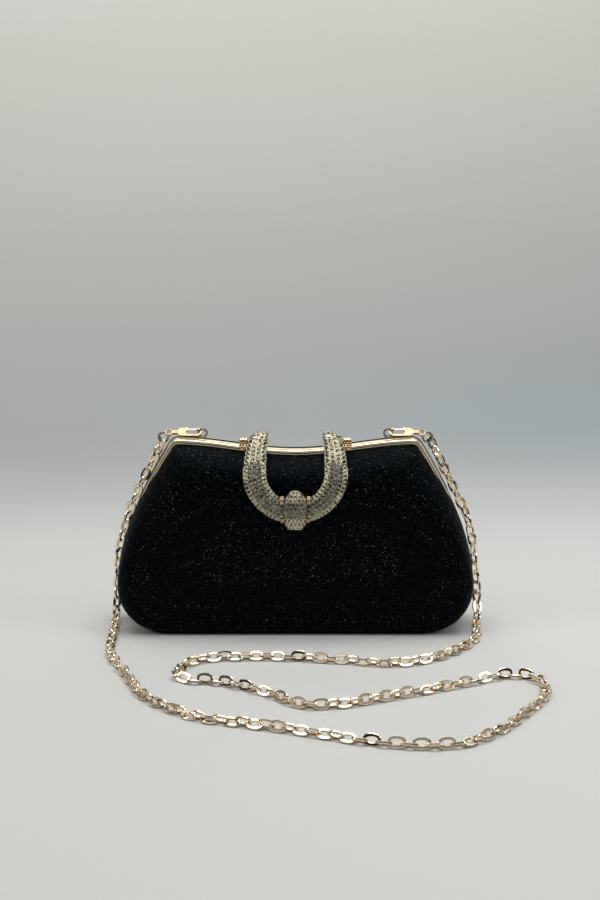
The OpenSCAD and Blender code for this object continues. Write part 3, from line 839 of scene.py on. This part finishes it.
def pocket():
    """A flat pocket on the back lining, open at the top."""
    front, back = [], []
    for r in range(POCKET_ROWS + 1):
        z = POCKET_LOW_Z + POCKET_H * r / POCKET_ROWS
        xs = [-POCKET_HALF_W + 2 * POCKET_HALF_W * c / POCKET_COLUMNS for c in range(POCKET_COLUMNS + 1)]
        row = []
        for x in xs:
            edge = min(1, (1 - abs(x) / POCKET_HALF_W) * 6)
            gather = GATHER * math.sin(x * 0.9) * (r / POCKET_ROWS) ** 2 * edge
            row.append((x, POCKET_Y - (HEM if r >= HEM_FROM_ROW else 0.0) + gather, z))
        front.append(row)
        back.append([(x, POCKET_BACK_Y, z) for x in xs])
    return two_layers("pocket_cloth", front, back, 0.0, 60)


pocket_cloth = dress(pocket(), "back_half", "slip_pocket")


# ---- strap rings and jump rings

# Each ring's place on the right, its radius and its wire's radius
STRAP_RING = (57, 3, 122.6), 2.5, 0.65
JUMP_RING = (81.2, 3, 119.9), 2.85, 0.7


def build_ring(name, side, place, radius, wire):
    mesh = Mesh()
    ring_mesh(mesh, (side * place[0], *place[1:]), (0, 1, 0), radius, wire)
    return mesh.build(name, RING_GOLD)


for side, word in SIDES:
    ring = build_ring(f"strap_loop_{word}", side, *STRAP_RING)
    dress(ring, "back_half", f"strap_ring_{word}")
    jump = build_ring(f"jump_loop_{word}", side, *JUMP_RING)
    dress(jump, "back_half", f"jump_ring_{word}")


# ---- clasp: the bow

BOW_R = 31.5
BORE_R = 17.7
BOW_Z = 104.5
ARM_TOP_Z = 126.0
CLASP_Y = -2.6
CLASP_Z = 118.4

# The bend's face and back, as (z, y)
FACE_DEPTHS = spline([(72, -28.8), (82, -29), (90, -28.6), (97, -27), (103.2, -24.2), (109, -20),
                      (114.6, -15), (120.6, -9), (123.6, -5)], 6)
BACK_DEPTHS = [(72, -25.5), (84, -25.5), (92, -24.8), (99.6, -22.6), (104.5, -19.7), (106.4, -18.2)]

# The arm above the bend, as (y, z): the face's line over the shoulder, and under it the back's
ARM_OUT = [(table(FACE_DEPTHS, 104.5), 104.5), (-20, 109), (-15, 114.6), (-9, 120.6), (-5, 123.6),
           (-2.2, 124.2), (-0.4, 122.8), (0, 120.6)]
ARM_IN = [(-19.7, 104.5), (-17.0, 107.8), (-12.6, 112.1), (-8.4, 115.6), (-5.4, 116.6), (-3.6, 116.6),
          (-1.9, 117.1), (-0.5, 118.6)]
ARM_PER_LEG = 5
ARM_OUT_LINE = spline(ARM_OUT, ARM_PER_LEG)
ARM_IN_LINE = spline(ARM_IN, ARM_PER_LEG)
BEND_FROM = 17.5
BEND_STEPS = 26
ARM_TOP_IN = 17.0
ARM_TOP_OUT = 29.8
# The inner side draws in by this much, from the first height to the second
INNER_CUT = 0.7
INNER_CUT_FROM_Z, INNER_CUT_TO_Z = 115, 123
# Beside the hub the arm is kept clear of the knuckle
HUB_CLEAR_Y = -7.5
HUB_CLEAR_X = 28.4
HUB = [(17.2, 2.2), (17.45, 2.45), (18.6, 2.45), (18.8, 2.2), (19.1, 2.2), (19.3, 2.45), (27.0, 2.45),
       (27.2, 2.2), (27.5, 2.2), (27.7, 2.45), (28.2, 2.45), (28.45, 2.2)]
# How far the outer side draws in over the shoulder, by height
SHOULDER_CUT = [(109, 0.0), (117, 0.6), (120, 1.6), (122, 2.8), (124.2, 4.4)]


def arm_x(v, y, z):
    """Across the arm above the bend, v runs from -1 at the inner side to 1 at the outer."""
    up = clamp01((z - BOW_Z) / (ARM_TOP_Z - BOW_Z))
    cut = smooth01((z - INNER_CUT_FROM_Z) / (INNER_CUT_TO_Z - INNER_CUT_FROM_Z))
    inner = mix(BORE_R, ARM_TOP_IN, up) - INNER_CUT * cut
    outer = mix(BOW_R, ARM_TOP_OUT, up) - table(SHOULDER_CUT, z)
    x = mix(inner, outer, (v + 1) / 2)
    return min(x, HUB_CLEAR_X) if y > HUB_CLEAR_Y else x


def upper_arm(line, s, v):
    """A point above the bend, on the face's line or the back's: s runs from 1 to 2."""
    t = min(s - 1, 1) * (len(line) - 1)
    k = min(int(t), len(line) - 2)
    y, z = mix2(line[k], line[k + 1], t - k)
    return Vector((arm_x(v, y, z), y, z))


def bow_point(s, v):
    """A point of the undomed face: s is 0 at the collar, 1 where the bend ends and 2 at the hinge."""
    if s <= 1:
        a = math.radians(mix(BEND_FROM, 90, s))
        r = mix(BORE_R, BOW_R, (v + 1) / 2)
        z = BOW_Z - r * math.cos(a)
        return Vector((r * math.sin(a), table(FACE_DEPTHS, z), z))
    return upper_arm(ARM_OUT_LINE, s, v)


def bow_back_point(s, v):
    if s <= 1:
        p = bow_point(s, v)
        return Vector((p.x, table(BACK_DEPTHS, p.z), p.z))
    return upper_arm(ARM_IN_LINE, s, v)


def surface_normal(point, s, v, step, outwards):
    along = point(min(2, s + 0.01), v) - point(max(0, s - 0.01), v)
    across = point(s, min(1, v + step)) - point(s, max(-1, v - step))
    n = across.cross(along).normalized()
    return n if n.dot(outwards) > 0 else -n


def bow_normal(s, v):
    return surface_normal(bow_point, s, v, 0.05, bow_point(s, v) - bow_back_point(s, v))


DOME_DROP = 2.0
# The dome is an arc whose half-width is this share of its radius
DOME_ARC = 0.93


def dome(v):
    fall = 1 - math.sqrt(max(0.0, 1 - (DOME_ARC * v) ** 2))
    return -DOME_DROP * fall / (1 - math.sqrt(1 - DOME_ARC ** 2))


def bow_surface(s, v):
    return bow_point(s, v) + bow_normal(s, v) * dome(v)


def bow_slope_normal(s, v):
    return surface_normal(bow_surface, s, v, 0.04, bow_normal(s, v))


def bow_s_values():
    first = [k / BEND_STEPS for k in range(BEND_STEPS)]
    steps = len(ARM_OUT_LINE) - 1
    return first + [1 + k / steps for k in range(steps + 1)]


def build_arm(side, word):
    """One cast arm with its hub: the domed face across, then the back."""
    mesh = Mesh()
    rows = []
    for s in bow_s_values():
        row = [bow_surface(s, -1 + 2 * k / 16) for k in range(17)]
        row += [bow_back_point(s, 0.97 - 1.94 * k / 8) for k in range(9)]
        rows.append([(side * p.x, p.y, p.z) for p in row])
    mesh.tube(rows)
    mesh.tube(turned([(side * x, r) for x, r in HUB], (CLASP_Y, CLASP_Z)))
    return mesh.build(f"bow_cast_{word}", SHADED_CAST_GOLD, sharp=40)


def gem(mesh, p, n, r, height, sides=8, spin=0.0):
    """A cut stone: girdle, crown facets and a table."""
    rings = (1, -0.35, 0), (1, 0, 0), (0.82, height * 0.55, math.pi / sides), (0.5, height, 0)
    points = [q for share, lift, turn in rings for q in hoop(p, n, r * share, lift, sides, spin + turn)]
    faces = []
    for k in range(sides):
        j = (k + 1) % sides
        faces.append((k, j, sides + j, sides + k))
        faces.append((sides + k, sides + j, 2 * sides + k))
        faces.append((sides + j, 2 * sides + j, 2 * sides + k))
        faces.append((2 * sides + k, 2 * sides + j, 3 * sides + j))
        faces.append((2 * sides + k, 3 * sides + j, 3 * sides + k))
    faces.append(tuple(3 * sides + k for k in range(sides)))
    mesh.add(points, faces)


def bead(mesh, p, n, r):
    """A prong's round head."""
    points = []
    for share, lift in ((1.0, -0.25), (1.0, 0.1), (0.72, 0.62)):
        points += hoop(p, n, r * share, r * lift, 8)
    points.append(tuple(p + n * (r * 0.95)))
    faces = []
    for q in range(2):
        for k in range(8):
            j = (k + 1) % 8
            faces.append((q * 8 + k, q * 8 + j, (q + 1) * 8 + j, (q + 1) * 8 + k))
    faces += [(16 + k, 16 + (k + 1) % 8, 24) for k in range(8)]
    mesh.add(points, faces)


def bezel(mesh, p, n, r):
    """The raised gold seat round a stone."""
    section = ((0.2, -0.2), (0.17, 0.2), (0.05, 0.3), (-0.09, 0.2), (-0.12, -0.1))
    mesh.grid([hoop(p, n, r + wide, lift, 12) for wide, lift in section], close_v=True)


# Each zone of an arm: rows across it, from s, to s, stone radius, pitch along the row
ZONES = [(5, 0.03, 1.076, 1.14, 2.52), (4, 1.132, 1.66, 1.42, 3.0)]
LIGHT_FROM_Z = 108.0
# Below that height, the share of dark stones, a shaded copy of the stone material as painted shade, in the
# inner rows and in the edge rows
DARK_INNER = 0.9
DARK_EDGE = 0.3
STONE_TILT = 0.12
PRONG_R = 0.36
# A stone's height for its radius, and the widest v that stones and prongs reach
STONE_RISE = 0.46
STONE_REACH = 0.98
PRONG_REACH = 0.985


def set_stones(meshes, pattern, node):
    """Makes the four pieces of one set of stones: light stones, dark ones in painted shade, prongs and the
    dark seats in painted shade.
    """
    kinds = (("stones_light", STONE_LIGHT, "crystal", node), ("stones_shaded", STONE_SHADED, "crystal", None),
             ("prongs", CLASP_GOLD, "clasp_gold", None), ("seats", SHADED_SEAT_GOLD, "clasp_gold", None))
    for mesh, (kind, material, slot, replaced) in zip(meshes, kinds):
        obj = mesh.build(pattern.format(kind), material, smooth=slot != "crystal")
        dress(obj, "clasp", replaced)


def bow_track(v, start, stop):
    """Distances along one row, with the s value at each."""
    out = []
    walked = 0.0
    before = bow_surface(start, v)
    for k in range(161):
        s = mix(start, stop, k / 160)
        p = bow_surface(s, v)
        walked += (p - before).length
        before = p
        out.append((walked, s))
    return out


def mirrored(p, side):
    return Vector((side * p.x, p.y, p.z))


def random_tilt(amount):
    return Vector((rng.uniform(-1, 1), rng.uniform(-1, 1), rng.uniform(-1, 1))) * amount


def add_stones(side, word):
    """An arm's stones, row by row along it, with a bezel round each and prongs between them."""
    light, dark, prongs, seats = Mesh(), Mesh(), Mesh(), Mesh()
    for rows, start, stop, radius, want in ZONES:
        for row in range(rows):
            v = ((row + 0.5) / rows * 2 - 1) * STONE_REACH
            track = bow_track(v, start, stop)
            total = track[-1][0]
            n = max(1, round(total / want))
            pitch = total / n
            shift = 0.5 if row % 2 else 0.0
            for k in range(n + (0 if row % 2 else 1)):
                d = (k + shift) * pitch
                s = table(track, d)
                normal = bow_slope_normal(s, v)
                place = mirrored(bow_surface(s, v), side)
                out = mirrored(normal, side)
                inner = 0 < row < rows - 1
                # Painted shade: below LIGHT_FROM_Z the inner rows take the darker seat gold, and most of
                # their stones the shaded stone copy.
                shaded = inner and place.z < LIGHT_FROM_Z
                share = DARK_INNER if inner else DARK_EDGE
                chosen = dark if place.z < LIGHT_FROM_Z and rng.random() < share else light
                metal = seats if shaded else prongs
                tilted = (out + random_tilt(STONE_TILT)).normalized()
                gem(chosen, place, tilted, radius * rng.uniform(0.95, 1.02), radius * STONE_RISE,
                    spin=rng.uniform(0, 1))
                bezel(metal, place, out, radius)
                for dv in (1.0 / rows, -1.0 / rows):
                    s2 = table(track, min(total, d + 0.5 * pitch))
                    v2 = max(-PRONG_REACH, min(PRONG_REACH, v + dv))
                    bead(prongs if rng.random() < 0.5 else metal, mirrored(bow_surface(s2, v2), side),
                         mirrored(bow_slope_normal(s2, v2), side), PRONG_R)
    set_stones((light, dark, prongs, seats), "bow_{}_" + word, f"bow_stones_{word}")


for side, word in SIDES:
    dress(build_arm(side, word), "clasp", f"bow_arm_{word}")
    add_stones(side, word)


# ---- clasp: crown and collars

CROWN_HALF = 7.0
# The crown's face down its middle, as (z, y)
CROWN_FACE = spline(
    [(68.6, -27.4), (72.6, -30.2), (78, -31.6), (82, -31.8), (86, -31.4), (90.2, -30), (93.4, -27.8)], 4)
# The crown's right edge, from the bottom up
CROWN_EDGE = [(1.2, 68.2), (3.4, 68.9), (5.4, 70.2), (6.8, 72.4), (7.0, 76), (7.0, 84), (6.8, 88.2),
              (5.7, 90.1), (4.5, 91.7), (2.9, 93.0), (1.0, 93.6)]
CROWN_MID_Z = 81.0
CROWN_BACK_Y = -25.5
# How far the face falls back at the crown's sides
CROWN_FALL = 1.5
# The face's rings, each a share of the outline, sunk by so much
CROWN_RINGS = ((0.985, 0.75), (0.95, 0.35), (0.88, 0.1), (0.75, 0), (0.55, 0), (0.3, 0), (0.1, 0))


def crown_edge():
    """The crown's outline, all the way round."""
    right = spline(CROWN_EDGE, 4)
    return right + [(-x, z) for x, z in reversed(right)]


def crown_y(x, z):
    return table(CROWN_FACE, z) + CROWN_FALL * (x / CROWN_HALF) ** 2


def crown_z(z, share):
    return CROWN_MID_Z + (z - CROWN_MID_Z) * share


def build_crown():
    mesh = Mesh()
    edge = crown_edge()
    rows = [[(x * 0.96, CROWN_BACK_Y, crown_z(z, 0.97)) for x, z in edge],
            [(x, CROWN_BACK_Y - 0.3, z) for x, z in edge],
            [(x, mix(CROWN_BACK_Y, crown_y(x, z) + 0.9, 0.7), z) for x, z in edge]]
    for share, sink in CROWN_RINGS:
        rows.append([(x * share, crown_y(x * share, crown_z(z, share)) + sink, crown_z(z, share))
                     for x, z in edge])
    mesh.tube(rows)
    return mesh.build("crown_cast", SHADED_CAST_GOLD, sharp=45)


def crown_normal(x, z):
    e = 0.4
    dx = Vector((2 * e, crown_y(x + e, z) - crown_y(x - e, z), 0))
    dz = Vector((0, crown_y(x, z + e) - crown_y(x, z - e), 2 * e))
    n = dx.cross(dz).normalized()
    return n if n.y < 0 else -n


# The crown's rows of stones: height and number
CROWN_ROWS = [(70.7, 4), (73.2, 5), (75.7, 6), (78.2, 5), (80.7, 6), (83.2, 5), (85.7, 6), (88.2, 5),
              (90.5, 3), (92.3, 2)]
CROWN_PITCH = 2.35
CROWN_STONE_R = 1.04
CROWN_STONE_H = 0.48
CROWN_PRONG_R = 0.38
# Three in four of the stones between these heights are dark, as painted shade
CROWN_DARK_Z = (77, 87)
CROWN_DARK = 0.75


def add_crown_stones():
    light, dark, prongs, seats = Mesh(), Mesh(), Mesh(), Mesh()
    for z, n in CROWN_ROWS:
        for k in range(n):
            x = (k - (n - 1) / 2) * CROWN_PITCH
            p = Vector((x, crown_y(x, z) + 0.05, z))
            normal = (crown_normal(x, z) + random_tilt(STONE_TILT)).normalized()
            # Painted shade: the crown's middle band takes the shaded stone copy, and its bezels and prongs
            # the darker seat gold.
            middle = CROWN_DARK_Z[0] < z < CROWN_DARK_Z[1]
            chosen = dark if middle and rng.random() < CROWN_DARK else light
            gem(chosen, p, normal, CROWN_STONE_R * rng.uniform(0.94, 1.0), CROWN_STONE_H,
                spin=rng.uniform(0, 1))
            bezel(seats if middle else prongs, p, crown_normal(x, z), CROWN_STONE_R)
            if k < n - 1:
                between = x + CROWN_PITCH / 2
                for dz in (-0.85, 0.85):
                    q = Vector((between, crown_y(between, z + dz), z + dz))
                    bead(seats if middle else prongs, q, crown_normal(between, z + dz), CROWN_PRONG_R)
    set_stones((light, dark, prongs, seats), "crown_{}", "crown_stones")


dress(build_crown(), "clasp", "clasp_crown")
add_crown_stones()

# A collar's face from the bottom up, as (z, y): it sinks in the middle
COLLAR_LINE = [(73.2, -28.0), (75, -29.5), (77.2, -29.5), (79.4, -28.4), (84, -28.3), (86.2, -29.4),
               (88, -29.5), (90.2, -28.0)]
COLLAR_T = 1.8
# Across a collar: how far from the crown, and how far in front of its line; two ridges with a groove between
COLLAR_SECTION = [(0.0, 0.0), (0.12, 0.25), (0.45, 0.35), (0.75, 0.2), (0.9, -0.25), (1.05, 0.2),
                  (1.35, 0.35), (1.68, 0.25), (COLLAR_T, 0.0)]


def build_collar(side, word):
    """A gold band of two ridges beside the crown."""
    mesh = Mesh()
    rows = []
    for z, y in spline(COLLAR_LINE, 5):
        row = [(side * (CROWN_HALF + u), y - out, z) for u, out in COLLAR_SECTION]
        row.append((side * (CROWN_HALF + COLLAR_T), CROWN_BACK_Y, z))
        row.append((side * CROWN_HALF, CROWN_BACK_Y, z))
        rows.append(row)
    mesh.tube(rows)
    return mesh.build(f"collar_band_{word}", HOOK_GOLD, sharp=60)


# The knuckle's (x, radius), from the arm outwards
BARREL = [(28.85, 1.5), (28.95, 2.0), (29.3, 2.45), (29.9, 2.72), (30.4, 2.6), (30.65, 2.05), (30.9, 1.95),
          (31.15, 2.1), (31.4, 2.65), (31.9, 2.78), (32.4, 2.65), (32.65, 2.1), (32.9, 1.95), (33.15, 2.05),
          (33.4, 2.5), (33.8, 2.5), (34.15, 2.2), (34.4, 1.6)]


def build_knuckle(side, word):
    """A round barrel of three ridges."""
    mesh = Mesh()
    mesh.tube(turned([(side * x, r) for x, r in BARREL], (CLASP_Y, CLASP_Z)))
    return mesh.build(f"knuckle_turned_{word}", HARD_GOLD, sharp=50)


# The knuckle's foot on the front rail's face, and its saddle over the rail, up to the barrel: x, y and z
FOOT = (29.4, 33.9), (5.02, 6.2), (113.15, 115.9)
FOOT_SADDLE = (29.5, 33.8), (3.2, 6.0), (115.3, 116.0)


def build_foot(side, word):
    mesh = Mesh()
    mirrored_box(mesh, side, -1, *FOOT, 0.45)
    mirrored_box(mesh, side, -1, *FOOT_SADDLE, 0.2)
    return mesh.build(f"knuckle_foot_{word}", FOOT_GOLD, sharp=40)


for side, word in SIDES:
    dress(build_collar(side, word), "clasp", f"bow_collar_{word}")
    dress(build_knuckle(side, word), "front_half", f"clasp_knuckle_{word}")
    dress(build_foot(side, word), "front_half")


# ---- CAD nodes that stay

def keep(node, material, width):
    """Gives a CAD node its material and, for a width above 0, rounded edges."""
    obj = bpy.data.objects[node]
    if not obj.material_slots:
        obj.data.materials.append(material)
    for slot in obj.material_slots:
        slot.material = material
    if width:
        mod = obj.modifiers.new("rounded edges", "BEVEL")
        mod.width = width * MM
        mod.segments = 2
        mod.limit_method = "ANGLE"
        mod.angle_limit = math.radians(35)


for word in ("left", "right"):
    keep(f"hook_body_{word}", HOOK_GOLD, 0.42)
    keep(f"hook_trigger_{word}", HARD_GOLD, 0.12)
    keep(f"hook_pin_{word}", PIN_GOLD, 0.06)
    keep(f"hook_spring_{word}", PIN_GOLD, 0)
    keep(f"ring_base_{word}", RING_GOLD, 0.35)
    keep(f"hinge_rivet_{word}", PIN_GOLD, 0.2)
    keep(f"clasp_pin_{word}", PIN_GOLD, 0.1)
for half in ("back", "front"):
    keep(f"{half}_core", BOARD, 0)


# ---- stage and light

# Painted light and shade on the paper along the sweep, by y + z in metres: (place, tone at the left, tone at
# the right)
PAPER_PAINTED_LIGHT = [
    (0.00, (0.625, 0.625, 0.62), (0.71, 0.71, 0.70)), (0.19, (0.58, 0.58, 0.58), (0.645, 0.645, 0.645)),
    (0.31, (0.48, 0.49, 0.49), (0.54, 0.55, 0.555)), (0.47, (0.405, 0.413, 0.413), (0.41, 0.44, 0.466)),
    (0.57, (0.40, 0.41, 0.41), (0.36, 0.40, 0.425)), (0.66, (0.41, 0.423, 0.423), (0.358, 0.398, 0.423)),
    (0.77, (0.442, 0.44, 0.445), (0.385, 0.403, 0.413)), (0.92, (0.48, 0.49, 0.476), (0.437, 0.45, 0.442)),
    (1.05, (0.54, 0.548, 0.53), (0.49, 0.49, 0.476)), (1.17, (0.605, 0.62, 0.594), (0.55, 0.566, 0.535)),
    (1.27, (0.673, 0.675, 0.64), (0.614, 0.63, 0.598)), (1.38, (0.758, 0.76, 0.716), (0.70, 0.72, 0.64)),
    (1.45, (0.82, 0.848, 0.808), (0.77, 0.79, 0.70))]
PAPER_SPAN = 1.6
# The width over which the painted tone at the left turns into the one at the right
PAPER_SWING = 0.7


def backdrop_material():
    """Pale paper with painted light and shade: even on the floor, painted shade where the sweep turns up,
    painted light high on the wall, and a painted difference from left to right.
    """
    m, tree, bsdf = nodes_of("paper")
    coord = tree.nodes.new("ShaderNodeTexCoord")
    split = tree.nodes.new("ShaderNodeSeparateXYZ")
    link(coord.outputs["Object"], split.inputs["Vector"])
    run = math_node(tree, "ADD", split.outputs["Y"], split.outputs["Z"])
    place = math_node(tree, "DIVIDE", run, PAPER_SPAN)
    across = math_node(tree, "ADD", math_node(tree, "DIVIDE", split.outputs["X"], PAPER_SWING), 0.5)
    blend = colour_mix(tree, across)
    for socket, column in ((6, 1), (7, 2)):
        tones = [(row[0] / PAPER_SPAN, row[column]) for row in PAPER_PAINTED_LIGHT]
        link(ramp(tree, place, tones), blend.inputs[socket])
    link(blend.outputs[2], bsdf.inputs["Base Color"])
    set_inputs(bsdf, Roughness=0.8, Specular_IOR_Level=0.1)
    bump(tree, bsdf, noise(tree, texture_coord(tree), 0.8, 2.0), 0.1, 0.05)
    return m


def build_stage():
    """A sheet of paper that lies flat and then sweeps up behind, in metres until it is meshed."""
    half, near, turn, radius, top = 1.5, -2.0, 0.45, 0.5, 2.2
    line = [(near, 0.0), (-1.0, 0.0), (0.0, 0.0), (turn, 0.0)]
    line += [(turn + radius * math.sin(a), radius * (1 - math.cos(a)))
             for a in (math.pi / 2 * k / 16 for k in range(1, 17))]
    line += [(turn + radius, top)]
    mesh = Mesh()
    mesh.grid([[(x / MM, y / MM, z / MM) for x in (-half, -half / 2, 0, half / 2, half)] for y, z in line])
    mesh.build("paper_sweep", backdrop_material())


build_stage()


def area_light(name, location, target, size, size_y, energy, colour):
    data = bpy.data.lights.new(name, "AREA")
    data.shape = "RECTANGLE"
    data.size = size
    data.size_y = size_y
    data.energy = energy
    data.color = colour
    obj = bpy.data.objects.new(name, data)
    obj.location = location
    obj.rotation_euler = (Vector(target) - Vector(location)).to_track_quat("-Z", "Y").to_euler()
    bpy.context.collection.objects.link(obj)


area_light("overhead", (0.0, -0.05, 1.5), (0, 0.0, 0), 1.6, 1.1, 11.0, (1.0, 0.99, 0.96))
area_light("left_window", (-1.5, -0.5, 1.0), (0, -0.05, 0.05), 0.7, 0.7, 4.5, (1.0, 0.97, 0.92))
area_light("right_fill", (1.5, -0.4, 0.9), (0, -0.05, 0.05), 0.6, 0.9, 5.5, (0.92, 0.97, 1.0))
area_light("wall_wash", (0.0, 0.1, 1.6), (0, 0.95, 0.75), 1.4, 0.4, 7.3, (1.0, 1.0, 0.98))


def build_world():
    """A pale room with a dark side behind the camera, so that polished metal has something dark to show."""
    world = bpy.data.worlds.new("room")
    bpy.context.scene.world = world
    world.use_nodes = True
    tree = world.node_tree
    back = tree.nodes["Background"]
    coord = tree.nodes.new("ShaderNodeTexCoord")
    split = tree.nodes.new("ShaderNodeSeparateXYZ")
    link(coord.outputs["Generated"], split.inputs["Vector"])
    colour = ramp(tree, split.outputs["Z"], [
        (0.0, (0.012, 0.012, 0.014)), (0.42, (0.03, 0.03, 0.033)), (0.68, (0.4, 0.4, 0.4)),
        (1.0, (0.8, 0.8, 0.78))])
    link(colour, back.inputs["Color"])
    set_inputs(back, Strength=0.6)


build_world()
